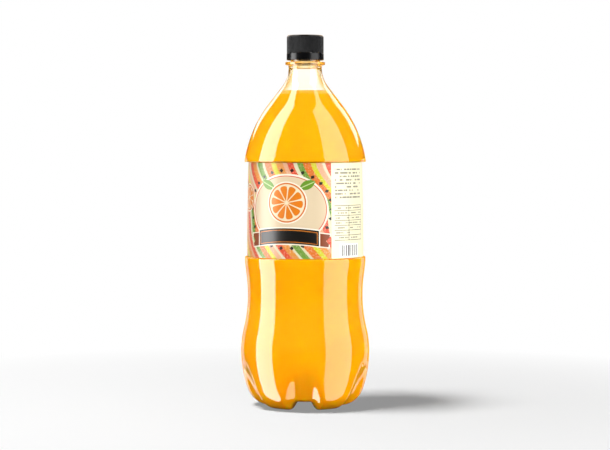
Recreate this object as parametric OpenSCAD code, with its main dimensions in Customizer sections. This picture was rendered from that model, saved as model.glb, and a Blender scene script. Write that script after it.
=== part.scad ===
// Two-litre stretch-blown PET drink bottle: five-footed base, waisted grip, wrap-round label,
// 28 mm screw finish and a two-piece closure with a tamper band. +Z is up and z = 0 is the
// floor under the feet. One valley of the base faces -Y.

/* [Body] */
// Diameter of the belly, the widest place
belly_d = 109; // [104:0.5:112]
// Height of the belly above the floor
belly_h = 47.5; // [44:0.5:52]
// Diameter of the waist that the hand grips
waist_d = 97.6; // [92:0.2:99]
// Height from the belly to the waist
waist_rise = 47.4; // [42:0.2:54]
// Share of that height taken by the belly's rounding
belly_share = 0.4; // [0.3:0.05:0.6]
// Diameter of the lip under the label
low_lip_d = 102.4; // [100.5:0.2:104]
// Height from the waist to the lip under the label
low_lip_rise = 31.9; // [28:0.1:36]
// Share of that height taken by the waist's rounding
waist_share = 0.66; // [0.4:0.02:0.75]
// Wall of the blown body
body_wall = 0.45; // [0.4:0.05:0.8]
// Rounding of the lips above and below the label
lip_nose = 0.8; // [0.5:0.1:1.2]

/* [Label panel] */
// Height of the recessed panel
panel_h = 80.3; // [74:0.1:88]
// Diameter of the panel at its foot
panel_low_d = 98; // [96:0.1:99]
// Diameter of the panel at its head
panel_top_d = 95.7; // [94:0.1:98]
// How far the panel swells outward at half height
panel_bow = 0.3; // [0:0.05:0.5]

/* [Shoulder and neck] */
// Diameter of the lip above the label
top_lip_d = 103; // [101:0.2:105]
// Height from the lip above the label to the neck
shoulder_h = 79; // [74:0.5:86]
// Slope of the straight upper shoulder, from upright
shoulder_angle = 37.5; // [35:0.5:40]
// Length of that straight stretch
shoulder_flat = 19.7; // [12:0.1:24]
// Radius that turns the shoulder into the neck
neck_fillet = 26.2; // [20:0.2:32]
// Diameter of the neck under the support ring
neck_d = 28; // [27.6:0.1:28.8]
// Length of the straight neck under the support ring
neck_straight = 2.2; // [1.5:0.1:4]
// How late the thick neck wall thins out down the shoulder
wall_fade = 6; // [4:1:9]

/* [Footed base] */
// Radius of the side of a foot, seen along its middle
foot_side_r = 107; // [95:1:130]
// Radius of the heel of a foot
heel_r = 20; // [17:0.5:21]
// Radius where the foot's flat pad begins
pad_in_r = 27.6; // [26:0.2:28.4]
// Height of the centre of the base above the floor
push_up = 9; // [7:0.5:12]
// Radius of the flat disc round the gate
gate_flat_r = 9; // [6:0.5:12]
// Height of a valley at its outer corner
valley_h = 7.7; // [6:0.1:9]
// Rounding of a valley's outer corner
valley_corner = 5; // [4:0.5:8]
// Radius of a valley's side, up to the belly
valley_r = 61; // [58:1:66]
// Half angle over which a foot stays full
foot_full = 9; // [5:0.5:10]
// Angle from a foot's middle to the edge of its valley
foot_edge = 25; // [22:0.5:30]
// Wall at the middle of the base, which stretches least
gate_wall = 2; // [1.2:0.1:2.6]
// Diameter of the gate nub left by the preform
nub_d = 4; // [3:0.1:6]
// Length of the gate nub
nub_h = 1; // [0.4:0.1:1.6]

/* [Screw finish] */
// Bore of the neck
bore_d = 21.74; // [21:0.02:22]
// Diameter between the threads
root_d = 24.94; // [24.6:0.02:25.4]
// Diameter of the support ring
ring_d = 33.6; // [32.6:0.1:34.4]
// Thickness of the support ring
ring_t = 2.5; // [1.8:0.1:3]
// Chamfer of the support ring's edges
ring_chamfer = 0.5; // [0.3:0.1:0.8]
// Height of the finish above the support ring
finish_h = 20; // [19.4:0.1:21]
// Diameter of the bead that holds the tamper band
bead_d = 28; // [27.4:0.1:28.2]
// Height of that bead
bead_h = 2.1; // [1.6:0.1:2.4]
// Chamfer of the mouth's inner and outer edge
mouth_chamfer = 0.4; // [0.2:0.1:0.6]

/* [Closure] */
// Diameter over the cap's knurls
cap_d = 31.2; // [30.8:0.1:32]
// Bore of the cap's skirt
cap_bore = 28.4; // [28.3:0.1:28.6]
// Thickness of the cap's top
cap_top_t = 1.6; // [1.2:0.1:2]
// Rounding of the cap's top edge
cap_round = 1.9; // [1:0.1:2.4]
// Number of knurls
knurls = 120; // [60:10:120]
// Depth of a knurl
knurl_depth = 0.3; // [0.15:0.05:0.4]
// Thickness of the sealing liner
liner_t = 1; // [0.8:0.1:1.4]
// Play of the liner in the cap, all round
liner_play = 0.3; // [0.2:0.05:0.5]
// Diameter of the tamper band
band_d = 31.4; // [31.2:0.1:32]
// Height of the tamper band
band_h = 5.75; // [5.2:0.05:6.2]
// Gap between the tamper band and the support ring
band_lift = 1.5; // [1:0.1:2]
// Slit between the tamper band and the cap
slit = 0.3; // [0.2:0.05:0.5]
// Number of bridges across the slit
bridges = 8; // [6:1:16]
// Angle that one bridge spans
bridge_angle = 4; // [2:0.5:6]
// Bore of the ring of folded flaps inside the tamper band
flap_bore = 26.8; // [26.2:0.1:27.2]
// Height of the folded flaps
flap_h = 1.7; // [1.2:0.1:2]
// Play between the flaps and the bead, and between the band and the bead
flap_play = 0.3; // [0.2:0.05:0.4]

/* [Label] */
// Thickness of the label film
label_t = 0.12; // [0.1:0.02:0.2]
// Glue line under the label and in its lap
glue_t = 0.14; // [0.12:0.02:0.24]
// Margin of bare panel above and below the label
label_margin = 0.4; // [0.2:0.1:2]
// Length of the lap where the label's ends meet
lap_len = 9; // [6:0.5:14]
// Width of each glue stripe
glue_w = 6; // [3:0.5:8]

/* [Drink] */
// Height of the liquid's surface below the support ring
ullage = 22; // [18:0.5:40]
// Film between the liquid and the wall
wet_gap = 0.15; // [0.1:0.05:0.3]

/* [Hidden] */
$fn = 96;

feet = 5;
feet_pitch = 360 / feet;
valley_at = -90;              // one valley of the base faces this way
around = 80;                  // points round one ring of the base
ring_steps = [8, 1, 6, 7];    // rings in the dish, the pad, the heel and the side of a foot
seam = 0.1;                   // step where the footed base meets the turned body
tiny = 0.001;                 // parameter step for a slope
line_end = 4;                 // parameter of a foot line's or a valley line's top end

belly_r = belly_d / 2;
waist_z = belly_h + waist_rise;
low_lip_z = waist_z + low_lip_rise;
panel_z = low_lip_z + lip_nose;
panel_top_z = panel_z + panel_h;
top_lip_z = panel_top_z + lip_nose;
neck_z = top_lip_z + shoulder_h;
ring_z = neck_z + neck_straight;
ring_top_z = ring_z + ring_t;
mouth_z = ring_top_z + finish_h;
neck_wall = (neck_d - bore_d) / 2;

band_z = ring_top_z + band_lift;
band_bore = bead_d + 2 * flap_play;
flap_lift = 0.4;              // flaps start this far above the band's lower edge
flap_lean = 0.3;              // the flaps' free edge leans inward by this much
bead_z = band_z + flap_lift + flap_h + flap_play;
bead_ramp = 0.8;              // sloping upper part of the bead
shell_z = band_z + band_h + slit;
liner_z = mouth_z;
cap_ceiling_z = liner_z + liner_t;
cap_top_z = cap_ceiling_z + cap_top_t;
bridge_inset = 0.3;           // bridges stand back from both faces of the band

fill_z = ring_z - ullage;
label_z = panel_z + label_margin;
label_top_z = panel_top_z - label_margin;
lap_at = 90;                  // the lap is at the back
pickup_at = lap_at;           // the leading edge starts here
glue_play = 0.04;             // a glue stripe's faces stay this far off the wall and the film

// ---- small helpers -------------------------------------------------------------------------

function mix(a, b, t) = a + (b - a) * t;
function smooth(t) = let (u = min(max(t, 0), 1)) u * u * (3 - 2 * u);
function arc_point(centre, radius, angle) = centre + radius * [cos(angle), sin(angle)];
function arc(centre, radius, from, to, n) =
    [for (i = [0:n]) arc_point(centre, radius, mix(from, to, i / n))];

// Two tangent arcs from point a to point b, upright at both; share is the first arc's part.
function s_curve(a, b, share, n) =
    let (
        rise = b[1] - a[1],
        reach = b[0] - a[0],
        turn = 2 * atan2(abs(reach), rise),
        both = rise / sin(turn),
        side = reach > 0 ? 1 : -1,
        first = share * both,
        last = both - first
    )
    concat(
        [for (i = [0:n]) let (t = turn * i / n) a + first * [side * (1 - cos(t)), sin(t)]],
        [for (i = [1:n]) let (t = turn * (1 - i / n)) b - last * [side * (1 - cos(t)), sin(t)]]
    );

// Points moved to the left of their direction of travel, each by its own distance.
function moved(points, distances) =
    let (last = len(points) - 1)
    [for (i = [0:last])
        let (
            run = points[min(i + 1, last)] - points[max(i - 1, 0)],
            normal = [-run[1], run[0]] / norm(run)
        )
        points[i] + distances[i] * normal];

function reversed(list) = [for (i = [len(list) - 1:-1:0]) list[i]];
function tail(list) = [for (i = [1:len(list) - 1]) list[i]];

// ---- footed base ---------------------------------------------------------------------------

// Both lines run from the gate at t = 0 to the belly at t = 4: the dish up to t = 1, the floor
// up to 2, the heel or corner arc up to 3, and the side arc up to 4.
side_c = [belly_r - foot_side_r, belly_h];
heel_c = [side_c[0] + sqrt(pow(foot_side_r - heel_r, 2) - pow(belly_h - heel_r, 2)), heel_r];
heel_a = atan2(heel_c[1] - side_c[1], heel_c[0] - side_c[0]);
valley_c = [belly_r - valley_r, belly_h];
corner_z = valley_h + valley_corner;
corner_c = [valley_c[0] + sqrt(pow(valley_r - valley_corner, 2) - pow(belly_h - corner_z, 2)),
            corner_z];
corner_a = atan2(corner_c[1] - valley_c[1], corner_c[0] - valley_c[0]);

function foot_line(t) =
    t < 1 ? let (r = pad_in_r * t, u = max(0, (r - gate_flat_r) / (pad_in_r - gate_flat_r)))
        [r, push_up * (1 + cos(180 * u)) / 2]
    : t < 2 ? [mix(pad_in_r, heel_c[0], t - 1), 0]
    : t < 3 ? arc_point(heel_c, heel_r, mix(-90, heel_a, t - 2))
    : arc_point(side_c, foot_side_r, mix(heel_a, 0, t - 3));

function valley_line(t) =
    t < 2 ? let (r = t < 1 ? pad_in_r * t : mix(pad_in_r, corner_c[0], t - 1))
        [r, mix(push_up, valley_h, smooth((r - gate_flat_r) / (corner_c[0] - gate_flat_r)))]
    : t < 3 ? arc_point(corner_c, valley_corner, mix(-90, corner_a, t - 2))
    : arc_point(valley_c, valley_r, mix(corner_a, 0, t - 3));

// A point of the line in the plane at an angle: a foot's middle blends into a valley's.
function base_line(t, angle) =
    let (
        off_valley = abs((angle - valley_at + feet_pitch / 2) % feet_pitch - feet_pitch / 2),
        off_foot = feet_pitch / 2 - off_valley
    )
    mix(foot_line(t), valley_line(t), smooth((off_foot - foot_full) / (foot_edge - foot_full)));

// The wall is thick at the gate and as thin as the body's from the pads on.
function base_wall(t) = mix(gate_wall, body_wall, smooth(t));

// The same point moved inward by a depth, square to its line.
function base_inset(t, angle, depth) =
    let (
        run = base_line(min(t + tiny, line_end), angle) - base_line(max(t - tiny, 0), angle),
        normal = [-run[1], run[0]] / norm(run)
    )
    base_line(t, angle) + depth * normal;

function stretch_steps(stretch) =
    [for (i = [1:ring_steps[stretch]]) stretch + i / ring_steps[stretch]];
ring_at = [for (stretch = [0:line_end - 1]) each stretch_steps(stretch)];
rings = len(ring_at);

// The points of one skin, ring by ring from the gate out, at a share of the wall and a gap.
function skin(share, gap) =
    [for (t = ring_at) for (i = [0:around - 1])
        let (
            angle = 360 * i / around,
            top = max(0, t - (line_end - 1)),
            flat = belly_r / cos(180 / around) - belly_r,
            edge = top * (share == 1 && gap == 0 ? -flat - seam / 4 : seam),
            p = base_inset(t, angle, base_wall(t) * share + gap + edge)
        )
        [p[0] * cos(angle), p[0] * sin(angle), t == line_end ? belly_h : p[1]]];

// Faces of a skin whose points start at an index; the pole is the point at the gate.
function skin_faces(start, pole, outward) =
    [for (f = concat(
        [for (i = [0:around - 1]) [pole, start + i, start + (i + 1) % around]],
        [for (j = [0:rings - 2]) for (i = [0:around - 1])
            let (
                a = start + j * around + i,
                b = start + j * around + (i + 1) % around
            )
            each [[a, a + around, b + around], [a, b + around, b]]]
    )) outward ? f : reversed(f)];

module footed_shell() {
    count = rings * around;
    poles = [[0, 0, push_up], [0, 0, push_up + gate_wall]];
    top = (rings - 1) * around;
    rim = [for (i = [0:around - 1])
        let (a = top + i, b = top + (i + 1) % around)
        each [[a, a + count, b + count], [a, b + count, b]]];
    polyhedron(
        concat(skin(0, 0), skin(1, 0), poles),
        concat(skin_faces(0, 2 * count, true), skin_faces(count, 2 * count + 1, false), rim)
    );
}

module footed_fill() {
    count = rings * around;
    top = (rings - 1) * around;
    lid = [[for (i = [around - 1:-1:0]) top + i]];
    polyhedron(
        concat(skin(1, wet_gap), [[0, 0, push_up + gate_wall + wet_gap]]),
        concat(skin_faces(0, count, true), lid)
    );
}

// ---- turned body ---------------------------------------------------------------------------

curve_steps = 8;
panel_steps = 8;
lip_steps = 4;
lip_lead = 15;                // angle at which a lip's rounding takes over from the wall

function panel_r(z) =
    let (u = (z - panel_z) / panel_h)
    mix(panel_low_d, panel_top_d, u) / 2 + panel_bow * 4 * u * (1 - u);

// The shoulder: an ogive from the lip, a straight stretch, and an arc into the neck.
fillet_c = [neck_d / 2 + neck_fillet, neck_z];
cone_dir = [sin(shoulder_angle), -cos(shoulder_angle)];
cone_in = [-cos(shoulder_angle), -sin(shoulder_angle)];
cone_top = arc_point(fillet_c, neck_fillet, 180 + shoulder_angle);
cone_foot = cone_top + shoulder_flat * cone_dir;
lip_end = [top_lip_d / 2, top_lip_z];
lip_gap = cone_foot - lip_end;
ogive_r = -(lip_gap * lip_gap) / (2 * lip_gap * cone_in);
ogive_c = cone_foot + ogive_r * cone_in;
ogive_a = atan2(lip_end[1] - ogive_c[1], lip_end[0] - ogive_c[0]);

lower_body = concat(
    s_curve([belly_r, belly_h], [waist_d / 2, waist_z], belly_share, curve_steps),
    [for (p = s_curve([waist_d / 2, waist_z], [low_lip_d / 2, low_lip_z], waist_share,
                      curve_steps))
        if (p[1] > waist_z) p]
);
panel_wall = [for (i = [0:panel_steps]) let (z = panel_z + panel_h * i / panel_steps)
    [panel_r(z), z]];
shoulder = concat(
    arc(ogive_c, ogive_r, ogive_a, shoulder_angle, 2 * curve_steps),
    arc(fillet_c, neck_fillet, 180 + shoulder_angle, 180, curve_steps)
);

outer_line = concat(
    lower_body,
    arc([low_lip_d / 2 - lip_nose, low_lip_z], lip_nose, lip_lead, 90, lip_steps),
    panel_wall,
    arc([top_lip_d / 2 - lip_nose, top_lip_z], lip_nose, -90, -lip_lead, lip_steps),
    shoulder
);

function wall_at(z) =
    mix(body_wall, neck_wall, pow(max(0, (z - top_lip_z) / shoulder_h), wall_fade));

// The face towards the drink, from the belly to the neck, set further in by an extra depth.
function depths(points, extra) = [for (p = points) wall_at(p[1]) + extra];
function hollow_line(extra) =
    let (in = body_wall + extra)
    concat(
        [[belly_r - in, belly_h]],
        tail(moved(lower_body, depths(lower_body, extra))),
        [[panel_low_d / 2 - in, panel_z - in]],
        moved(panel_wall, depths(panel_wall, extra)),
        [[panel_top_d / 2 - in, panel_top_z + in], [top_lip_d / 2 - in, top_lip_z + extra]],
        tail(moved(shoulder, depths(shoulder, extra)))
    );

support_ring = [
    [ring_d / 2 - ring_chamfer, ring_z],
    [ring_d / 2, ring_z + ring_chamfer],
    [ring_d / 2, ring_top_z - ring_chamfer],
    [ring_d / 2 - ring_chamfer, ring_top_z]
];
finish_line = [
    [root_d / 2, ring_top_z],
    [root_d / 2, bead_z],
    [bead_d / 2, bead_z],
    [bead_d / 2, bead_z + bead_h - bead_ramp],
    [root_d / 2, bead_z + bead_h],
    [root_d / 2, mouth_z - mouth_chamfer],
    [root_d / 2 - mouth_chamfer, mouth_z],
    [bore_d / 2 + mouth_chamfer, mouth_z],
    [bore_d / 2, mouth_z - mouth_chamfer],
    [bore_d / 2, neck_z]
];

module bottle() {
    color([1, 0.82, 0.42, 0.35]) {
        footed_shell();
        rotate_extrude()
            polygon(concat(
                outer_line,
                [[neck_d / 2, ring_z]],
                support_ring,
                finish_line,
                tail(reversed(hollow_line(0)))
            ));
        translate([0, 0, push_up - nub_h])
            cylinder(d = nub_d, h = nub_h + gate_wall / 2);
    }
}

module drink() {
    color([1, 0.69, 0]) {
        footed_fill();
        rotate_extrude()
            intersection() {
                polygon(concat(
                    [[0, belly_h]],
                    hollow_line(wet_gap),
                    [[0, neck_z]]
                ));
                square([belly_r, fill_z]);
            }
    }
}

// ---- label and its glue --------------------------------------------------------------------

label_rows = 5;
wrap_step = 4;                // angle between two points round the label
climb_angle = 4;              // the film climbs onto its own edge within this angle
lap_angle = lap_len / (PI * panel_low_d) * 360;
glue_angle = glue_w / (PI * panel_low_d) * 360;
panel_table = [for (p = panel_wall) [p[1], p[0]]];

// How far the film's inner face stands off the panel after an angle of wrapping.
function film_lift(angle) =
    glue_t + (glue_t + label_t) * smooth((angle - 360 + climb_angle) / climb_angle);

module label() {
    turns = concat([for (a = [0:wrap_step:360]) a], [for (i = [1:3]) 360 + lap_angle * i / 3]);
    last = len(turns) - 1;
    levels = [for (j = [0:label_rows]) mix(label_z, label_top_z, j / label_rows)];
    section = 2 * (label_rows + 1);
    points = [for (a = turns)
        each concat(
            [for (z = levels) [lookup(z, panel_table) + film_lift(a), a, z]],
            reversed([for (z = levels) [lookup(z, panel_table) + film_lift(a) + label_t, a, z]])
        )];
    sides = [for (i = [0:last - 1]) for (k = [0:section - 1])
        let (a = i * section + k, b = i * section + (k + 1) % section)
        each [[a, b + section, b], [a, a + section, b + section]]];
    ends = [for (j = [0:label_rows - 1])
        let (k = section - 1 - j, far = last * section)
        each [
            [j, k - 1, k], [j, j + 1, k - 1],
            [far + j, far + k, far + k - 1], [far + j, far + k - 1, far + j + 1]
        ]];
    color([0.98, 0.87, 0.7])
        rotate([0, 0, pickup_at])
            polyhedron(
                [for (p = points) [p[0] * cos(p[1]), p[0] * sin(p[1]), p[2]]],
                concat(sides, ends)
            );
}

// A stripe of glue round the panel: a sector over a span, between two depths.
module glue_stripe(from, under) {
    low = label_z + label_margin;
    high = label_top_z - label_margin;
    line = [for (j = [0:label_rows]) let (z = mix(low, high, j / label_rows))
        [lookup(z, panel_table) + under + glue_play, z]];
    color([0.9, 0.85, 0.6])
        rotate([0, 0, from])
            rotate_extrude(angle = glue_angle)
                polygon(concat([for (p = line) p + [glue_t - 2 * glue_play, 0]], reversed(line)));
}

// Hot melt that holds the leading edge to the bottle.
module label_pickup_glue() {
    glue_stripe(pickup_at, 0);
}

// Hot melt between the two ends of the label.
module label_lap_glue() {
    glue_stripe(pickup_at + (lap_angle - glue_angle) / 2, glue_t + label_t);
}

// ---- closure -------------------------------------------------------------------------------

knurl_top_z = cap_top_z - cap_round;
knurl_root_r = cap_d / 2 - knurl_depth;
dome_sink = 1;                // the smooth top reaches this far down inside the knurls
dome_inset = 0.2;             // and stands this far inside their roots
dome_r = knurl_root_r * cos(180 / knurls) - dome_inset;

module cap_shell() {
    skirt_h = cap_ceiling_z - shell_z;
    color([0.16, 0.16, 0.17])
        difference() {
            union() {
                translate([0, 0, shell_z])
                    linear_extrude(knurl_top_z - shell_z)
                        polygon([for (i = [0:knurls - 1])
                            each [
                                arc_point([0, 0], cap_d / 2, 360 * i / knurls),
                                arc_point([0, 0], knurl_root_r, 360 * (i + 0.5) / knurls)
                            ]]);
                rotate_extrude()
                    polygon(concat(
                        [[0, knurl_top_z - dome_sink], [dome_r, knurl_top_z - dome_sink]],
                        arc([dome_r - cap_round, knurl_top_z], cap_round, 0, 90, curve_steps),
                        [[0, cap_top_z]]
                    ));
            }
            translate([0, 0, shell_z - slit])
                cylinder(d = cap_bore, h = skirt_h + slit);
        }
}

module cap_liner() {
    color([0.85, 0.88, 0.9])
        translate([0, 0, liner_z])
            cylinder(d = cap_bore - 2 * liner_play, h = liner_t);
}

flaps = 10;
flap_angle = 30;
flap_thick = 0.5;
flap_root_h = 1;              // height over which a flap's root joins the band

module tamper_band() {
    flap_z = band_z + flap_lift;
    bridge_d0 = band_bore + 2 * bridge_inset;
    bridge_w = (band_d - 2 * bridge_inset - bridge_d0) / 2;
    color([0.16, 0.16, 0.17]) {
        translate([0, 0, band_z])
            rotate_extrude()
                translate([band_bore / 2, 0])
                    square([(band_d - band_bore) / 2, band_h]);
        for (i = [0:flaps - 1])
            rotate([0, 0, i * 360 / flaps])
                rotate_extrude(angle = flap_angle)
                    polygon([
                        [band_bore / 2 + bridge_inset, flap_z],
                        [flap_bore / 2 + flap_lean, flap_z],
                        [flap_bore / 2, flap_z + flap_h],
                        [flap_bore / 2 + flap_thick, flap_z + flap_h],
                        [band_bore / 2 + bridge_inset, flap_z + flap_root_h]
                    ]);
        for (i = [0:bridges - 1])
            rotate([0, 0, i * 360 / bridges])
                translate([0, 0, band_z + band_h])
                    rotate_extrude(angle = bridge_angle)
                        translate([bridge_d0 / 2, -slit])
                            square([bridge_w, 2 * slit]);
    }
}

bottle();
drink();
label();
label_pickup_glue();
label_lap_glue();
cap_shell();
cap_liner();
tamper_band();
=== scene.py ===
import math

import bpy
import numpy as np
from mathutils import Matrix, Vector


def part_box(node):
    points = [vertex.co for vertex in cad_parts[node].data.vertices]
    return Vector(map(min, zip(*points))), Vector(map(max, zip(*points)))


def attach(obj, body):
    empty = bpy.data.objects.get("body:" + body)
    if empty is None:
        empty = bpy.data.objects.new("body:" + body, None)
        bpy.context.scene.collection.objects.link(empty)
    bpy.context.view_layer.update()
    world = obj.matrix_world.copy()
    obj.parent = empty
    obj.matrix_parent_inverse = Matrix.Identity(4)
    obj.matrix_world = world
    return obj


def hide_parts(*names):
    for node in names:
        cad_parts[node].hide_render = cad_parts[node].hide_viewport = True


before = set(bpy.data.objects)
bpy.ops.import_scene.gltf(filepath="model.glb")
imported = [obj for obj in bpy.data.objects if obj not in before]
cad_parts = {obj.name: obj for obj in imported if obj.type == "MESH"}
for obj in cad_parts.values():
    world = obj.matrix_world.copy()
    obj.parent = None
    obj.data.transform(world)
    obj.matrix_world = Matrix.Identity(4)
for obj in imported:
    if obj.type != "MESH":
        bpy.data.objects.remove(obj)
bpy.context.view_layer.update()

# ---- bottle ----------------------------------------------------------------------------------
# The bottle is one piece of PET. An injection-moulded preform with the finished screw neck is
# heated, stretched and blown into a cooled mould, so the neck stays thick and the body is thin.
# The five feet let a flat-standing base hold the pressure of a carbonated drink.

MM = 0.001
FULL_TURN = 2 * np.pi


def mix(a, b, t):
    """The value at share t of the way from a to b."""
    return a + (b - a) * t


def smooth(t):
    """Share t eased in and out: 3 t squared minus 2 t cubed, between 0 and 1."""
    u = np.clip(t, 0, 1)
    return u * u * (3 - 2 * u)


def arc(centre, radius, start, end, count):
    """Points of a round stretch in the (radius, height) plane, by angle in degrees."""
    a = np.radians(np.linspace(start, end, count + 1))
    return np.stack([centre[0] + radius * np.cos(a), centre[1] + radius * np.sin(a)], axis=1)


def straight(a, b, count):
    """Evenly spaced points from a to b in the (radius, height) plane."""
    t = np.linspace(0, 1, count + 1)[:, None]
    return mix(np.array(a, float), np.array(b, float), t)


def s_curve(a, b, share, count):
    """Two tangent arcs from a to b, upright at both ends; share is the first arc's part."""
    reach, rise = b[0] - a[0], b[1] - a[1]
    side = 1 if reach > 0 else -1
    turn = 2 * math.atan2(abs(reach), rise)
    first = share * rise / math.sin(turn)
    last = rise / math.sin(turn) - first
    t = np.linspace(0, turn, count + 1)
    low = np.stack([a[0] + side * first * (1 - np.cos(t)), a[1] + first * np.sin(t)], axis=1)
    t = t[::-1][1:]
    high = np.stack([b[0] - side * last * (1 - np.cos(t)), b[1] - last * np.sin(t)], axis=1)
    return np.concatenate([low, high])


def moved_in(line, depth):
    """A line of points moved to the left of its travel, each by its own depth."""
    run = np.gradient(line, axis=0)
    normal = np.stack([-run[:, 1], run[:, 0]], axis=1)
    return line + normal / np.linalg.norm(normal, axis=1)[:, None] * np.reshape(depth, (-1, 1))


def turned(line, around):
    """Rings of points: each point of a (radius, height) line carried round the Z axis."""
    a = np.arange(around) * FULL_TURN / around
    r, z = line[:, :1], line[:, 1:]
    return np.stack([r * np.cos(a), r * np.sin(a), z + 0 * a], axis=2)


def skin_faces(rows, around, looped=False):
    """Quads between the rows of a grid whose columns meet; looped joins the last row to the
    first as well."""
    corner = np.arange(rows * around).reshape(rows, around)
    if looped:
        corner = np.concatenate([corner, corner[:1]])
    beside = np.roll(corner, -1, axis=1)
    return np.stack([corner[:-1], beside[:-1], beside[1:], corner[1:]], axis=2).reshape(-1, 4)


def pole_faces(ring_start, around, pole, upward):
    """Triangles that close a ring of points with one more point at its middle."""
    corner = ring_start + np.arange(around)
    beside = np.roll(corner, -1)
    first, second = (corner, beside) if upward else (beside, corner)
    return np.stack([np.full(around, pole), first, second], axis=1)


def closed_stack(rings, first_z, last_z):
    """Points and faces of a stack of rings, closed by points on the axis at two heights."""
    rows, around = rings.shape[:2]
    count = rows * around
    points = np.concatenate([rings.reshape(-1, 3), [[0, 0, first_z], [0, 0, last_z]]])
    return points, [skin_faces(rows, around), pole_faces(0, around, count, False),
                    pole_faces(count - around, around, count + 1, True)]


def new_piece(name, points, faces, crease=40):
    """An object from points in millimetres and its faces, smooth up to a crease angle."""
    mesh = bpy.data.meshes.new(name)
    mesh.from_pydata((points * MM).tolist(), [], [f for part in faces for f in part.tolist()])
    mesh.shade_smooth()
    mesh.set_sharp_from_angle(angle=math.radians(crease))
    piece = bpy.data.objects.new(name, mesh)
    bpy.context.collection.objects.link(piece)
    return piece


def linear(colour):
    """Linear RGBA of an sRGB hex colour."""
    parts = [int(colour[i:i + 2], 16) / 255 for i in (1, 3, 5)]
    return [p / 12.92 if p <= 0.04045 else ((p + 0.055) / 1.055) ** 2.4 for p in parts] + [1]


def add(tree, kind, *values, sockets=(), **settings):
    """Adds a shader node. The settings are its properties, the values fill its sockets in order
    and sockets fills named ones. A node among the values stands for its first output."""
    made = tree.nodes.new("ShaderNode" + kind)
    for key, value in settings.items():
        setattr(made, key, value)
    in_use = [s for s in made.inputs if s.enabled]
    for socket, value in [*zip(in_use, values), *((made.inputs[k], v) for k, v in sockets)]:
        if isinstance(value, bpy.types.Node):
            value = next(s for s in value.outputs if s.enabled)
        if isinstance(value, bpy.types.NodeSocket):
            tree.links.new(value, socket)
        elif value is not None:
            socket.default_value = value
    return made


def set_stops(ramp, shades):
    """Gives a colour ramp its stops, from pairs of a place and an sRGB colour in order."""
    stops = ramp.color_ramp.elements
    while len(stops) < len(shades):
        stops.new(1)
    for stop, (place, colour) in zip(stops, shades):
        stop.position, stop.color = place, linear(colour)


def new_material(name):
    """An empty node material and its output node."""
    material = bpy.data.materials.new(name)
    material.use_nodes = True
    material.node_tree.nodes.clear()
    return material, material.node_tree, add(material.node_tree, "OutputMaterial")


bottle_high = Vector(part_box("bottle")[1]) / MM
belly_r = bottle_high.x
belly_h = 47.5
waist_r, waist_z = 48.8, belly_h + 47.4
low_lip_r, low_lip_z = 51.2, waist_z + 31.9
belly_share, waist_share = 0.4, 0.66
body_wall = 0.45
lip_nose = 0.8

panel_z = low_lip_z + lip_nose
panel_h = 80.3
panel_low_r, panel_top_r = 49.0, 47.85
panel_bow = 0.3
panel_root = 0.5

top_lip_r = 51.5
top_lip_z = panel_z + panel_h + lip_nose
shoulder_h = 79.0
shoulder_angle = 37.5
shoulder_flat = 19.7
neck_fillet = 26.2
neck_r = 14.0
neck_z = top_lip_z + shoulder_h
wall_fade = 6

foot_side_r, heel_r = 107.0, 20.0
pad_in_r, gate_flat_r = 27.6, 9.0
push_up = 9.0
valley_h, valley_corner, valley_r = 7.7, 5.0, 38.0
valley_lean = math.radians(27)
low_flank = np.radians([9, 23.5])
high_flank = np.radians([4.5, 16])
flank_z = [8, 32]
foot_pitch = FULL_TURN / 5
valley_at = -FULL_TURN / 4
gate_wall = 2.0
nub_r, nub_h, nub_edge = 2.0, 1.0, 0.25

bore_r, root_r = 10.87, 12.47
ring_z, ring_t, ring_r, ring_edge = neck_z + 2.2, 2.5, 16.8, 0.5
mouth_z = bottle_high.z
mouth_edge = 0.4
bead_r, bead_z, bead_h, bead_ramp = 14.0, 296.3, 2.1, 0.8

pitch = 3.18
thread_crest = 13.7
thread_top_z = mouth_z - 2.4
thread_turn = math.radians(650)
thread_run_out = math.radians(25)
thread_foot_w, thread_crest_w = 2.1, 0.9
vents = 4
vent_half = math.radians(6)
vent_soft = math.radians(2)

around = 240

side_c = np.array([belly_r - foot_side_r, belly_h])
heel_c = np.array([side_c[0] + math.sqrt((foot_side_r - heel_r) ** 2 - (belly_h - heel_r) ** 2),
                   heel_r])
heel_a = math.degrees(math.atan2(heel_c[1] - side_c[1], heel_c[0] - side_c[0]))
valley_c = np.array([belly_r - valley_r, belly_h])
slope_top = valley_c + valley_r * np.array([math.cos(valley_lean), -math.sin(valley_lean)])
corner_z = valley_h + valley_corner
corner_c = np.array([slope_top[0] - ((slope_top[1] - corner_z) * math.sin(valley_lean)
                                     + valley_corner) / math.cos(valley_lean), corner_z])
slope_low = corner_c + valley_corner * np.array([math.cos(valley_lean), -math.sin(valley_lean)])


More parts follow.
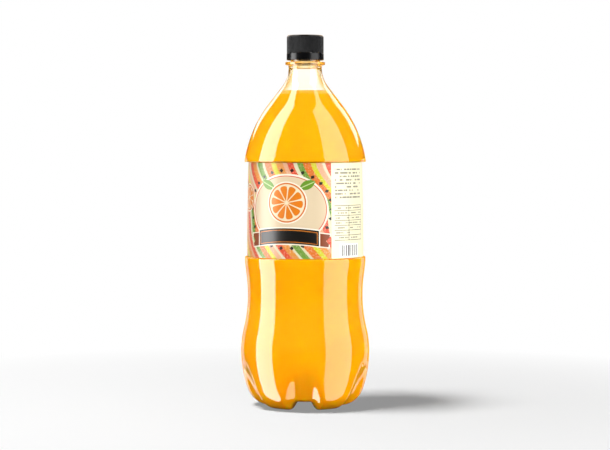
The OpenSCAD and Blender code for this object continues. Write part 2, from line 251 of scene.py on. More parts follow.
def base_line(t, angle):
    """Radius and height of the footed base. t runs from the gate at 0 over the dish to 1, the
    floor to 2, the heel's or corner's arc to 3 and the side to the belly at 4. A foot's line in
    its middle plane is eased into a valley's line, and the valleys grow wider downward."""
    stretch = [t < 1, t < 2, t < 3, t >= 3]

    def on_arc(centre, radius, start, end, share):
        a = np.radians(mix(start, end, share))
        return centre[0] + radius * np.cos(a), centre[1] + radius * np.sin(a)

    dish_r = pad_in_r * t
    dish_z = push_up * (1 + np.cos(np.pi * np.clip((dish_r - gate_flat_r)
                                                   / (pad_in_r - gate_flat_r), 0, 1))) / 2
    heel = on_arc(heel_c, heel_r, -90, heel_a, t - 2)
    side = on_arc(side_c, foot_side_r, heel_a, 0, t - 3)
    foot_r = np.select(stretch, [dish_r, mix(pad_in_r, heel_c[0], t - 1), heel[0], side[0]])
    foot_z = np.select(stretch, [dish_z, 0 * t, heel[1], side[1]])
    lean = -math.degrees(valley_lean)
    corner = on_arc(corner_c, valley_corner, -90, lean, t - 2)
    slope = np.clip((t - 3) * 2, 0, 1)
    bend = on_arc(valley_c, valley_r, lean, 0, np.clip((t - 3.5) * 2, 0, 1))
    flank = [np.where(t < 3.5, mix(slope_low[i], slope_top[i], slope), bend[i]) for i in (0, 1)]
    floor_r = np.where(t < 1, dish_r, mix(pad_in_r, corner_c[0], t - 1))
    floor_z = mix(push_up, valley_h,
                  smooth((floor_r - gate_flat_r) / (corner_c[0] - gate_flat_r)))
    valley_line_r = np.select(stretch, [floor_r, floor_r, corner[0], flank[0]])
    valley_line_z = np.select(stretch, [floor_z, floor_z, corner[1], flank[1]])
    off_valley = np.abs((angle - valley_at + foot_pitch / 2) % foot_pitch - foot_pitch / 2)
    up = np.clip((foot_z - flank_z[0]) / (flank_z[1] - flank_z[0]), 0, 1)
    inner, outer = (mix(low_flank[i], high_flank[i], up) for i in (0, 1))
    share = smooth((outer - off_valley) / (outer - inner))
    return mix(foot_r, valley_line_r, share), mix(foot_z, valley_line_z, share)


def footed_rings(t, depth):
    """Rings of the footed base at parameters t, moved inward square to each line by a depth."""
    a = np.arange(around) * FULL_TURN / around
    t, a = np.meshgrid(t, a, indexing="ij")
    step = 0.001
    r0, z0 = base_line(np.maximum(t - step, 0), a)
    r1, z1 = base_line(np.minimum(t + step, 4), a)
    length = np.hypot(r1 - r0, z1 - z0)
    r, z = base_line(t, a)
    r, z = r - (z1 - z0) / length * depth[:, None], z + (r1 - r0) / length * depth[:, None]
    return np.stack([r * np.cos(a), r * np.sin(a), z], axis=2)


def panel_r(z):
    """Radius of the label panel: a slight taper with a slight swelling at half height."""
    u = (z - panel_z) / panel_h
    return mix(panel_low_r, panel_top_r, u) + panel_bow * 4 * u * (1 - u)


def wall_at(z):
    """Wall of the turned body: thin up to the label, then thicker towards the neck."""
    u = np.clip((z - top_lip_z) / shoulder_h, 0, 1)
    return mix(body_wall, neck_r - bore_r, u ** wall_fade)


lower_body = np.concatenate([
    s_curve([belly_r, belly_h], [waist_r, waist_z], belly_share, 20),
    s_curve([waist_r, waist_z], [low_lip_r, low_lip_z], waist_share, 12)[1:],
])
panel_heights = np.linspace(panel_z, panel_z + panel_h, 7)
panel_line = np.stack([panel_r(panel_heights), panel_heights], axis=1)

fillet_c = np.array([neck_r + neck_fillet, neck_z])
slope = math.radians(shoulder_angle)
cone_in = np.array([-math.cos(slope), -math.sin(slope)])
cone_top = fillet_c + neck_fillet * cone_in
cone_foot = cone_top + shoulder_flat * np.array([math.sin(slope), -math.cos(slope)])
lip_gap = cone_foot - np.array([top_lip_r, top_lip_z])
ogive_r = -(lip_gap @ lip_gap) / (2 * lip_gap @ cone_in)
ogive_c = cone_foot + ogive_r * cone_in
ogive_a = math.degrees(math.atan2(top_lip_z - ogive_c[1], top_lip_r - ogive_c[0]))
shoulder = np.concatenate([
    arc(ogive_c, ogive_r, ogive_a, shoulder_angle, 18),
    straight(cone_foot, cone_top, 5)[1:-1],
    arc(fillet_c, neck_fillet, 180 + shoulder_angle, 180, 12),
])

outer_line = np.concatenate([
    lower_body,
    arc([low_lip_r - lip_nose, low_lip_z], lip_nose, 10, 90, 6)[1:],
    arc([panel_low_r + panel_root, panel_z + panel_root], panel_root, 270, 180, 4),
    panel_line[1:-1],
    arc([panel_top_r + panel_root, panel_z + panel_h - panel_root], panel_root, 180, 90, 4),
    arc([top_lip_r - lip_nose, top_lip_z], lip_nose, -90, -10, 6),
    shoulder,
])
support_ring = np.concatenate([
    [[neck_r + 0.5, ring_z]],
    arc([ring_r - ring_edge, ring_z + ring_edge], ring_edge, -90, 0, 4),
    arc([ring_r - ring_edge, ring_z + ring_t - ring_edge], ring_edge, 0, 90, 4),
    [[root_r + 0.4, ring_z + ring_t]],
])
threaded_line = straight([root_r, bead_z + bead_h + 0.2], [root_r, mouth_z - mouth_edge - 0.1], 46)
finish_line = np.concatenate([
    support_ring,
    straight([root_r, ring_z + ring_t + 0.4], [root_r, bead_z - 0.3], 3),
    [[root_r + 0.3, bead_z], [bead_r - 0.3, bead_z]],
    arc([bead_r - 0.3, bead_z + 0.3], 0.3, -60, 0, 2),
    arc([bead_r - 0.3, bead_z + bead_h - bead_ramp], 0.3, 0, 45, 2),
    [[root_r + 0.2, bead_z + bead_h]],
    threaded_line,
    arc([root_r - mouth_edge, mouth_z - mouth_edge], mouth_edge, 0, 90, 4),
    arc([bore_r + mouth_edge, mouth_z - mouth_edge], mouth_edge, 90, 180, 4),
])
bore_line = straight([bore_r, mouth_z - 2], [bore_r, neck_z], 6)


def hollow_line(extra):
    """The face towards the drink, from the belly up to the neck, set in by an extra depth."""
    inner = body_wall + extra
    return np.concatenate([
        moved_in(lower_body, wall_at(lower_body[:, 1]) + extra),
        arc([low_lip_r - lip_nose, low_lip_z], lip_nose - inner, 0, 90, 3)[1:],
        arc([panel_low_r + panel_root, panel_z + panel_root], panel_root + inner, 270, 180, 4),
        moved_in(panel_line, wall_at(panel_line[:, 1]) + extra)[2:-2:2],
        arc([panel_top_r + panel_root, top_lip_z - lip_nose - panel_root], panel_root + inner,
            180, 90, 4),
        arc([top_lip_r - lip_nose, top_lip_z], lip_nose - inner, -90, 0, 3)[:-1],
        moved_in(shoulder, wall_at(shoulder[:, 1]) + extra),
    ])


def thread_height(angle, z, top_z, crest, foot_w, crest_w):
    """Height of a right-handed thread above its root: a trapezoid carried down a helix from
    top_z, run out at both ends. A point is near one of the turns above or below it."""
    height = np.zeros(np.broadcast(angle, z).shape)
    for turn in range(3):
        wound = FULL_TURN * turn - angle % FULL_TURN
        off_axis = np.abs(z - (top_z - pitch * wound / FULL_TURN))
        ramp = (foot_w / 2 - off_axis) / ((foot_w - crest_w) / 2)
        ends = np.minimum(wound, thread_turn - wound) / thread_run_out
        height = np.maximum(height, crest * np.clip(ramp, 0, 1) * smooth(ends))
    return height


def vented(angle):
    """0 in the vent slots that let pressure out as the cap is opened, 1 between them."""
    spacing = FULL_TURN / vents
    off_slot = np.abs(angle % spacing - spacing / 2)
    return smooth((off_slot - vent_half) / vent_soft)


nub_line = np.concatenate([
    straight([0.6, push_up - nub_h], [nub_r - nub_edge, push_up - nub_h], 2),
    arc([nub_r - nub_edge, push_up - nub_h + nub_edge], nub_edge, -60, 0, 2),
    straight([nub_r, push_up - nub_edge], [nub_r + nub_edge, push_up], 1),
])
base_t = np.concatenate([
    np.linspace(0.1, 1, 12)[:-1], np.linspace(1, 2, 4)[:-1], np.linspace(2, 3, 14)[:-1],
    np.linspace(3, 4, 17)[:-1],
])
base_t_in = np.concatenate([np.linspace(0.06, 2, 12)[:-1], np.linspace(2, 4, 18)[:-1]])
finish_rings = turned(finish_line, around)
bearing = np.arctan2(finish_rings[..., 1], finish_rings[..., 0])
in_thread = ((finish_rings[..., 2] > threaded_line[0, 1])
             & (finish_rings[..., 2] < threaded_line[-1, 1]))
standing = thread_height(bearing, finish_rings[..., 2], thread_top_z, thread_crest - root_r,
                         thread_foot_w, thread_crest_w)
stretch = 1 + in_thread * standing * vented(bearing) / root_r
finish_rings[..., :2] *= stretch[..., None]
rings = np.concatenate([
    turned(nub_line, around),
    footed_rings(base_t, 0 * base_t),
    turned(outer_line, around),
    finish_rings,
    turned(bore_line, around),
    turned(hollow_line(0)[::-1], around),
    footed_rings(base_t_in[::-1], mix(gate_wall, body_wall, smooth(base_t_in[::-1]))),
])
points, faces = closed_stack(rings, push_up - nub_h, push_up + gate_wall)
bottle = new_piece("blown_bottle", points, faces)

# PET is clear, glossy and of a high index for a plastic. Its slight yellow cast builds up in the
# solid ring and finish and where the thick neck is seen edge-on. At the neck's edge-on rims the
# tint deepens to brown and part of the face turns matt amber, lit by the lamps: painted shade for
# the dark refracted edges. The blown wall has a faint orange-peel waviness from the sand-blasted
# mould.
pet_ior, drink_ior = 1.575, 1.34
peel_size, peel_depth = 14.0, 0.02
amber_from_z, amber_to_z = 248.0, 276.0
finish_cast, capped_share = 0.4, 0.3
# The last shades and the matt share below are painted shade at the neck's edge-on rims.
pet_shades = [(0.3, "#fffaf2"), (0.45, "#fde6a8"), (0.65, "#fcc040"), (0.95, "#e49418")]
edge_shade_from, edge_shade_to, edge_shade_clear = 0.45, 0.85, 0.62


def clear_plastic(name, index):
    """A clear PET face of a given index against what lies beyond it."""
    material, tree, out = new_material(name)
    place = add(tree, "TexCoord").outputs["Object"]
    peel = add(tree, "TexNoise", place, 1 / (peel_size * MM), 2)
    bump = add(tree, "Bump", 0.25, peel_depth * MM, sockets=[("Height", peel)])
    up = add(tree, "SeparateXYZ", place).outputs["Z"]
    thick = add(tree, "MapRange", up, amber_from_z * MM, amber_to_z * MM)
    ring_cast = add(tree, "MapRange", up, (neck_z + 0.3) * MM, ring_z * MM, 0, finish_cast)
    finish = add(tree, "MapRange", up, (bead_z - bead_h) * MM, bead_z * MM, 1,
                 capped_share)
    finish = add(tree, "Math", finish, ring_cast, operation="MULTIPLY")
    # Edge-on, the neck's tint goes brown and partly matt: painted shade for its dark refracted
    # edges.
    edge_on = add(tree, "LayerWeight", 0.5).outputs["Facing"]
    depth = add(tree, "Math", edge_on, thick, finish, operation="MULTIPLY_ADD")
    clearness = add(tree, "MapRange", depth, edge_shade_from, edge_shade_to, 1.0, edge_shade_clear)
    cast_and_edge_shade = add(tree, "ValToRGB", depth)
    set_stops(cast_and_edge_shade, pet_shades)
    clear = add(tree, "BsdfPrincipled", sockets=[
        ("Base Color", cast_and_edge_shade), ("Roughness", 0.01), ("IOR", index),
        ("Transmission Weight", clearness), ("Normal", bump)])
    open_to_lamps = add(tree, "BsdfTransparent", linear("#fffaf0"))
    shadow_ray = add(tree, "LightPath").outputs["Is Shadow Ray"]
    tree.links.new(add(tree, "MixShader", shadow_ray, clear, open_to_lamps).outputs[0],
                   out.inputs["Surface"])
    return material


# Where the drink wets the wall the step in index is small, so that face hardly mirrors.
bottle.data.materials.append(clear_plastic("stretch_blown_clear_pet", pet_ior))
bottle.data.materials.append(clear_plastic("pet_wetted_by_drink", pet_ior / drink_ior))
fill_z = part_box("drink")[1].z / MM
hollow_from = (len(rings) - len(hollow_line(0)) - len(base_t_in)) * around
wetted = (np.arange(len(points)) >= hollow_from) & (points[:, 2] < fill_z)
first_corner = np.empty(len(bottle.data.polygons), dtype=np.int32)
bottle.data.polygons.foreach_get("loop_start", first_corner)
corner = np.empty(len(bottle.data.loops), dtype=np.int32)
bottle.data.loops.foreach_get("vertex_index", corner)
bottle.data.polygons.foreach_set("material_index",
                                 wetted[corner[first_corner]].astype(np.int32))
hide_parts("bottle")
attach(bottle, "bottle")

# ---- drink -----------------------------------------------------------------------------------
# The bottle is filled with a cloudy orange drink up to just under the neck. It is a liquid that
# takes the shape of the inside of the bottle and climbs the wall a little at its surface.

wet_gap = 0.15
meniscus, meniscus_w = 0.6, 2.0

wall_line = hollow_line(wet_gap)
wall_line = wall_line[wall_line[:, 1] < fill_z - 0.4]
fill_r = np.interp(fill_z, shoulder[:, 1], shoulder[:, 0] - wall_at(shoulder[:, 1])
                   / math.cos(slope)) - wet_gap
surface_r = np.concatenate([np.linspace(fill_r, fill_r - meniscus_w, 7),
                            np.linspace(fill_r - meniscus_w, 1, 6)[1:]])
surface_z = fill_z + meniscus * (np.exp((surface_r - fill_r) / (meniscus_w / 3)) - 1)
liquid_top = np.stack([surface_r, surface_z], axis=1)
rings = np.concatenate([
    footed_rings(base_t_in, mix(gate_wall, body_wall, smooth(base_t_in)) + wet_gap),
    turned(wall_line, around),
    turned(liquid_top, around),
])
drink = new_piece("orange_drink",
                  *closed_stack(rings, push_up + gate_wall + wet_gap, surface_z[-1]))

# Orange concentrate and cloud emulsion scatter light within some millimetres, so the drink glows
# softly and has no sharp shadows.
cloud_size = 30.0
liquid, tree, out = new_material("cloudy_orange_drink")
place = add(tree, "TexCoord").outputs["Object"]
cloud = add(tree, "TexNoise", place, 1 / (cloud_size * MM), 3)
body_colour = add(tree, "Mix", cloud, linear("#f8a500"), linear("#f8b000"), data_type="RGBA")
facing_up = add(tree, "SeparateXYZ", add(tree, "NewGeometry").outputs["Normal"]).outputs["Z"]
open_surface = add(tree, "MapRange", facing_up, 0.85, 0.95, 0.0, 0.5)
juice = add(tree, "BsdfPrincipled", sockets=[
    ("Base Color", body_colour), ("Roughness", 0.15), ("IOR", drink_ior),
    ("Specular IOR Level", open_surface), ("Subsurface Weight", 1.0),
    ("Subsurface Radius", (1.0, 0.45, 0.1)), ("Subsurface Scale", 6 * MM)])
tree.links.new(juice.outputs[0], out.inputs["Surface"])
drink.data.materials.append(liquid)
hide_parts("drink")
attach(drink, "bottle")

# ---- label glue ------------------------------------------------------------------------------
# Two upright stripes of hot melt hold the label. The first fixes its leading edge to the bottle,
# the second closes the lap. They are rolled on hot, so their edges are a little uneven.

label_low, label_high = [Vector(c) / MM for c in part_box("label")]
label_z, label_top_z = label_low.z, label_high.z
label_t, glue_t, glue_play = 0.12, 0.14, 0.04
lap_len, glue_w, glue_short = 9.0, 6.0, 0.8
lap_at = math.radians(90)
glue_edge_wander = 0.35
lap_angle, glue_angle = lap_len / panel_low_r, glue_w / panel_low_r


def swept(section_r, section_z, angles):
    """Points of a closed section carried round the axis: radius by angle and section point."""
    a = angles[:, None]
    return np.stack([section_r * np.cos(a), section_r * np.sin(a), section_z + 0 * a], axis=2)


def strip_faces(steps, levels):
    """Faces of a thin curved strip: its section runs up the inner face and down the outer one,
    and its two ends are closed."""
    section = 2 * levels
    inner = np.arange(levels)
    outer = section - 1 - inner
    end = np.stack([inner[:-1], outer[:-1], outer[1:], inner[1:]], axis=1)
    far_end = (steps - 1) * section + end[:, ::-1]
    return [skin_faces(steps, section), end, far_end]


def glue_stripe(name, start, under, material):
    """An upright stripe of glue that starts at an angle and stands on what is under it. Its two
    edges wander apart and together by two sines of the height."""
    levels = np.linspace(label_z + glue_short, label_top_z - glue_short, 60)
    share = np.linspace(0, 1, 5)[:, None]
    wander = glue_edge_wander / panel_low_r * (np.sin(levels * 0.9) + 0.6 * np.sin(levels * 2.3))
    base = panel_r(levels) + under + glue_play
    section_r = np.concatenate([base, (base + glue_t - 2 * glue_play)[::-1]])
    section_z = np.concatenate([levels, levels[::-1]])
    side = np.concatenate([wander, wander[::-1]])[None, :] * (2 * share - 1)
    angles = start + glue_angle * mix(0.08, 0.92, share) + side
    points = np.stack([section_r * np.cos(angles), section_r * np.sin(angles),
                       section_z + 0 * angles], axis=2)
    stripe = new_piece(name, points.reshape(-1, 3), strip_faces(len(share), len(levels)))
    stripe.data.materials.append(material)
    return stripe


# Hot melt is a waxy, straw-coloured and slightly glossy resin.
hot_melt, tree, out = new_material("hot_melt_resin")
place = add(tree, "TexCoord").outputs["Object"]
ropes = add(tree, "TexNoise", place, 1 / (3 * MM), 2)
resin_colour = add(tree, "Mix", ropes, linear("#e2d29a"), linear("#f0e6c0"), data_type="RGBA")
bump = add(tree, "Bump", 0.4, 0.05 * MM, sockets=[("Height", ropes)])
resin = add(tree, "BsdfPrincipled", sockets=[
    ("Base Color", resin_colour), ("Roughness", 0.35), ("IOR", 1.48), ("Normal", bump)])
tree.links.new(resin.outputs[0], out.inputs["Surface"])

pickup_glue = glue_stripe("pickup_glue", lap_at, 0, hot_melt)
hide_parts("label_pickup_glue")
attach(pickup_glue, "bottle")
lap_glue = glue_stripe("lap_glue", lap_at + (lap_angle - glue_angle) / 2, glue_t + label_t,
                       hot_melt)
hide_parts("label_lap_glue")
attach(lap_glue, "bottle")

# ---- label -----------------------------------------------------------------------------------
# The label is a printed polypropylene film cut from a reel and wrapped once round the recessed
# panel, over its own leading edge. Its plain design is repeated at the front and the back.

climb_angle = math.radians(4)
wrap_steps, film_levels = 460, 25

angles = np.linspace(0, FULL_TURN + lap_angle, wrap_steps)
levels = np.linspace(label_z, label_top_z, film_levels)
lift = glue_t + (glue_t + label_t) * smooth((angles - FULL_TURN + climb_angle) / climb_angle)
section_z = np.concatenate([levels, levels[::-1]])
section_r = panel_r(section_z) + np.repeat([0, label_t], film_levels)
rings = swept(section_r + lift[:, None], section_z, angles + lap_at)
label = new_piece("wrap_label", rings.reshape(-1, 3), strip_faces(wrap_steps, film_levels))

# The map "wrap" is the film laid flat, in millimetres: u from the middle of the front, v from
# the lower edge.
wrap_u = np.repeat((angles - np.pi) * (panel_low_r + panel_top_r) / 2, len(section_z))
wrap_v = np.tile(section_z - label_z, wrap_steps)
corner = np.empty(len(label.data.loops), dtype=np.int32)
label.data.loops.foreach_get("vertex_index", corner)
flat = label.data.uv_layers.new(name="wrap")
flat.uv.foreach_set("vector", np.stack([wrap_u, wrap_v], axis=1)[corner].astype(np.float32).ravel())

film, tree, out = new_material("printed_polypropylene_film")
label_h = label_top_z - label_z
face_w, face_from = 155.2, -71.2
panel_from = 24.0

print_at = add(tree, "UVMap", uv_map="wrap").outputs["UV"]
apart = add(tree, "SeparateXYZ", print_at)
face_u = add(tree, "Math", apart.outputs["X"], face_from + face_w, face_from, operation="WRAP")
face_v = apart.outputs["Y"]
face = add(tree, "CombineXYZ", face_u, face_v, 0.0)


def shape_at(centre, size, turn=0.0):
    """The print's coordinates seen from a motif: 0 at its centre and 1 at half its size."""
    return add(tree, "Mapping", face, (*centre, 0), (0, 0, math.radians(turn)), (*size, 1),
               vector_type="TEXTURE")


def oval(centre, size, turn=0.0):
    """1 inside an ellipse of two half sizes."""
    reach = add(tree, "VectorMath", shape_at(centre, size, turn), operation="LENGTH")
    return add(tree, "Math", reach, 1.0, operation="LESS_THAN")


def bar(centre, size, turn=0.0, arch=0.0):
    """1 inside a rectangle of two half sizes, arched upward in its middle."""
    own = add(tree, "SeparateXYZ", shape_at(centre, size, turn))
    across = add(tree, "Math", own.outputs["X"], own.outputs["X"], operation="MULTIPLY")
    bent = add(tree, "Math", across, arch, own.outputs["Y"], operation="MULTIPLY_ADD")
    up = add(tree, "Math", bent, operation="ABSOLUTE")
    along = add(tree, "Math", own.outputs["X"], operation="ABSOLUTE")
    furthest = add(tree, "Math", along, up, operation="MAXIMUM")
    return add(tree, "Math", furthest, 1.0, operation="LESS_THAN")


def leaf(centre, length, width, turn):
    """1 inside a leaf: half width shrinks with the square of the way to its tip."""
    own = add(tree, "SeparateXYZ", shape_at(centre, (length / 2, width / 2), turn))
    along = add(tree, "Math", own.outputs["X"], own.outputs["X"], operation="MULTIPLY")
    up = add(tree, "Math", own.outputs["Y"], operation="ABSOLUTE")
    reach = add(tree, "Math", along, up, operation="ADD")
    rib = add(tree, "Math", up, 0.1, operation="LESS_THAN")
    inside = add(tree, "Math", reach, 1.0, operation="LESS_THAN")
    return inside, add(tree, "Math", rib, add(tree, "Math", reach, 0.8, operation="LESS_THAN"),
                       operation="MULTIPLY")


def citrus_segments(centre, radius, turn, count=10, wall=0.03, rind=0.86, corner=0.006):
    """1 inside the segments of a cut fruit: far from the walls between them and from the rind,
    with the product of the two distances rounding their corners."""
    own = shape_at(centre, (radius, radius), turn)
    away = add(tree, "VectorMath", own, operation="LENGTH")
    turn_share = add(tree, "TexGradient", own, gradient_type="RADIAL").outputs["Fac"]
    sector = add(tree, "Math", add(tree, "Math", turn_share, float(count), operation="MULTIPLY"),
                 0.5, operation="PINGPONG")
    off_wall = add(tree, "Math", add(tree, "Math", sector, away, operation="MULTIPLY"), wall,
                   operation="SUBTRACT")
    off_rind = add(tree, "Math", rind, away, operation="SUBTRACT")
    room = add(tree, "Math", off_wall, off_rind, operation="MULTIPLY")
    whole = add(tree, "Math", off_wall, 0.0, operation="GREATER_THAN")
    return add(tree, "Math", add(tree, "Math", room, corner, operation="GREATER_THAN"), whole,
               operation="MULTIPLY")


GREEN, CREAM, ORANGE, YELLOW = "#598123", "#c0bc9d", "#c06012", "#b6b413"
RED, PEACH, AMBER, BADGE, INK = "#c03c18", "#c79473", "#c47c2c", "#c3b193", "#141210"
stripes = [(5.2, GREEN), (2.4, CREAM), (6.4, ORANGE), (4.4, YELLOW), (5.6, AMBER), (3.4, PEACH),
           (4.6, RED), (3.0, CREAM), (4.2, GREEN), (5.8, ORANGE), (3.6, YELLOW), (4.8, PEACH),
           (2.6, CREAM), (5.0, RED), (5.4, AMBER), (2.2, CREAM)]
stripe_period = sum(w for w, c in stripes)
stripe_lean = math.radians(28)
wave_h, wave_len = 3.2, 58.0

leaning = add(tree, "VectorMath", face, (math.cos(stripe_lean), math.sin(stripe_lean), 0),
              operation="DOT_PRODUCT")
wave = add(tree, "Math", add(tree, "Math", face_v, 2 * math.pi / wave_len, operation="MULTIPLY"),
           operation="SINE")
ripple = add(tree, "Math", wave, wave_h, leaning, operation="MULTIPLY_ADD")
repeat = add(tree, "Math", ripple, 1 / stripe_period, operation="MULTIPLY")
ramp = add(tree, "ValToRGB", add(tree, "Math", repeat, operation="FRACT"))
ramp.color_ramp.interpolation = "CONSTANT"
stripe_starts = np.cumsum([0] + [w for w, c in stripes[:-1]]) / stripe_period
set_stops(ramp, [(start, colour) for start, (w, colour) in zip(stripe_starts, stripes)])

# The bands have a chalky grain, as if drawn by hand.
chalk = add(tree, "TexNoise", face, 0.8, 4, 0.7)
flecks = add(tree, "MapRange", chalk, 0.5, 0.66, 0.0, 0.5)
printed = add(tree, "Mix", flecks, ramp, linear("#d2c7b6"), data_type="RGBA")


def shrunk(size, by):
    """A pair of half sizes less a border."""
    return (size[0] - by, size[1] - by)


def cut(mask, away):
    """A mask less another."""
    return add(tree, "Math", mask, away, operation="SUBTRACT", use_clamp=True)


def both(mask, other):
    """1 where two masks meet."""
    return add(tree, "Math", mask, other, operation="MULTIPLY")


def beads(centre, size, count, half_w, share_w):
    """Small diamonds set round an ellipse."""
    own = shape_at(centre, size)
    away = add(tree, "VectorMath", own, operation="LENGTH")
    off_ring = add(tree, "Math", add(tree, "Math", away, 1.0, operation="SUBTRACT"),
                   operation="ABSOLUTE")
    turn_share = add(tree, "TexGradient", own, gradient_type="RADIAL").outputs["Fac"]
    along = add(tree, "Math", add(tree, "Math", turn_share, float(count), operation="MULTIPLY"),
                0.5, operation="PINGPONG")
    reach = add(tree, "Math", along, 1 / share_w,
                add(tree, "Math", off_ring, 1 / half_w, operation="MULTIPLY"),
                operation="MULTIPLY_ADD")
    return add(tree, "Math", reach, 1.0, operation="LESS_THAN")


badge, badge_size = (-14.0, 41.0), (35.5, 29.5)
wheel, wheel_r = (-14.0, 46.5), 16.5
small_wheel, small_r = (-61.0, 50.0), 11.0
ribbon = (-14.0, 19.0)
leaf_one, rib_one = leaf((3.4, 61.2), 15, 7.5, 24)
leaf_two, rib_two = leaf((-31.4, 61.2), 15, 7.5, 156)
layers = [
    (beads(badge, (38.4, 32.4), 26, 0.056, 0.19), INK),
    (oval(badge, badge_size), "#d9d2c3"),
    (cut(oval(badge, (34.0, 28.0)), oval(badge, (33.3, 27.3))), "#b74123"),
    (oval(badge, (33.3, 27.3)), BADGE),
    (leaf_one, GREEN), (rib_one, "#afba88"), (leaf_two, GREEN), (rib_two, "#afba88")]
for spot, radius, turn in [(wheel, wheel_r, 12), (small_wheel, small_r, -20)]:
    layers += [
        (oval(spot, (radius + 1.0, radius + 1.0)), "#d9d2c3"),
        (oval(spot, (radius, radius)), "#bc5e09"),
        (oval(spot, (radius - 1.2, radius - 1.2)), "#cdc2a4"),
        (citrus_segments(spot, radius, turn), "#c66d14")]
for side in (-1, 1):
    tail = (ribbon[0] + 29.0 * side, ribbon[1] - 3.4)
    notch = bar((tail[0] + 8.6 * side, tail[1] - 1.0), (3.2, 3.2), 45)
    layers += [(cut(bar(tail, (7.9, 6.2), -7 * side), notch), "#d9d2c3"),
               (cut(bar(tail, (7.0, 5.3), -7 * side), notch), "#70310f")]
layers += [
    (bar(ribbon, (28.0, 7.4), 0, 0.3), "#d9d2c3"),
    (bar(ribbon, (27.0, 6.4), 0, 0.35), INK),
    (cut(bar(ribbon, (25.8, 5.1), 0, 0.44), bar(ribbon, (25.3, 4.6), 0, 0.48)), "#c2701f")]

# Beside it a cream field carries rows of grey strokes, a ruled grid and a block of bars.
sheet_w = face_from + face_w - panel_from
sheet = (panel_from + sheet_w / 2, label_h / 2)
line_pitch, stroke_len, word_len = 2.9, 1.4, 5.5
stroke_over, word_over, row_hop = 0.43, 0.42, 31.7


def strokes_in(row, margin):
    """Grey strokes in groups of uneven length. A row's own number picks another stretch of the
    noise, and margin is the share of a row that stays clear."""
    number = add(tree, "Math", row, operation="FLOOR")
    place = add(tree, "CombineXYZ", face_u,
                add(tree, "Math", number, row_hop, operation="MULTIPLY"), 0.0)
    short = add(tree, "Math", add(tree, "TexNoise", place, 1 / stroke_len, 1), stroke_over,
                operation="GREATER_THAN")
    group = add(tree, "Math", add(tree, "TexNoise", place, 1 / word_len, 0), word_over,
                operation="GREATER_THAN")
    inside = add(tree, "Math", add(tree, "Math", row, 0.5, operation="PINGPONG"), margin,
                 operation="GREATER_THAN")
    return both(both(short, group), inside)


field_at, field_size = (panel_from + 21.0, 62.5), (17.5, 13.5)
grid_at, grid_size, grid_rows = (panel_from + 21.0, 29.5), (18.0, 14.4), 7
bars_at, bars_size = (panel_from + 19.5, 6.4), (11.0, 4.6)
field_row = add(tree, "Math", face_v, 1 / line_pitch, operation="MULTIPLY")
column_shift, column_half_w, across_line, down_line = 0.15, 0.575, 0.06, 0.018
grid_part = add(tree, "SeparateXYZ", shape_at(grid_at, grid_size))
grid_row = add(tree, "Math", grid_part.outputs["Y"], grid_rows / 2, 0.5,
               operation="MULTIPLY_ADD")
grid_column = add(tree, "Math", grid_part.outputs["X"], column_shift, operation="ADD")
off_row = add(tree, "Math", grid_row, 0.5, operation="PINGPONG")
off_column = add(tree, "Math", grid_column, column_half_w, operation="PINGPONG")
ruled = add(tree, "Math", add(tree, "Math", off_row, across_line, operation="LESS_THAN"),
            add(tree, "Math", off_column, down_line, operation="LESS_THAN"),
            operation="MAXIMUM")
long_bars = add(tree, "Math", add(tree, "TexNoise", face_u, 0.7, 1, noise_dimensions="1D"),
                0.5, operation="GREATER_THAN")
layers += [
    (bar(sheet, (sheet_w / 2, label_h / 2 + 1)), "#e8e0bc"),
    (both(strokes_in(field_row, 0.24), bar(field_at, field_size)), "#837d6c"),
    (both(strokes_in(grid_row, 0.34), bar(grid_at, shrunk(grid_size, 1.0))), "#948d7a"),
    (both(ruled, bar(grid_at, shrunk(grid_size, -0.3))), "#3d3a33"),
    (bar(bars_at, shrunk(bars_size, -1.0)), "#fbf9f2"),
    (both(long_bars, bar(bars_at, bars_size)), INK)]
for mask, colour in layers:
    printed = add(tree, "Mix", mask, printed, linear(colour), data_type="RGBA")

film_shader = add(tree, "BsdfPrincipled", sockets=[
    ("Base Color", printed), ("Roughness", 0.3), ("IOR", 1.49)])
tree.links.new(film_shader.outputs[0], out.inputs["Surface"])
label.data.materials.append(film)
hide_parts("label")
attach(label, "bottle")

# ---- cap liner -------------------------------------------------------------------------------
# The liner is a disc of soft white EVA, moulded into the cap. A raised bead near its rim presses
# on the mouth of the bottle and keeps the gas in.

liner_low, liner_high = [Vector(c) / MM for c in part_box("cap_liner")]
liner_r, liner_z, liner_top_z = liner_high.x, liner_low.z, liner_high.z
bead_stand = 0.35
liner_line = np.concatenate([
    straight([1, liner_z + bead_stand], [bore_r - 1.2, liner_z + bead_stand], 3),
    arc([bore_r - 0.7, liner_z + 0.5], 0.5, 200, 270, 4),
    straight([bore_r + 0.3, liner_z], [liner_r - 0.3, liner_z], 3),
    arc([liner_r - 0.2, liner_z + 0.2], 0.2, -90, 0, 3),
    arc([liner_r - 0.2, liner_top_z - 0.2], 0.2, 0, 90, 3),
    straight([liner_r - 1, liner_top_z], [1, liner_top_z], 3),
])
around_liner = 120
liner = new_piece("cap_seal", *closed_stack(turned(liner_line, around_liner),
                                            liner_z + bead_stand, liner_top_z))

eva, tree, out = new_material("moulded_white_eva")
place = add(tree, "TexCoord").outputs["Object"]
grain = add(tree, "TexNoise", place, 1 / (0.6 * MM), 2)
bump = add(tree, "Bump", 0.2, 0.02 * MM, sockets=[("Height", grain)])
eva_colour = add(tree, "Mix", grain, linear("#dfe3e4"), linear("#eef1f1"), data_type="RGBA")
soft = add(tree, "BsdfPrincipled", sockets=[
    ("Base Color", eva_colour), ("Roughness", 0.5), ("IOR", 1.48), ("Normal", bump)])
tree.links.new(soft.outputs[0], out.inputs["Surface"])
liner.data.materials.append(eva)
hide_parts("cap_liner")
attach(liner, "seal")

# ---- cap shell -------------------------------------------------------------------------------
# The cap is injection moulded from black high-density polyethylene. Fine knurls give grip on its
# skirt, and a thread of the bottle's own pitch runs inside it.

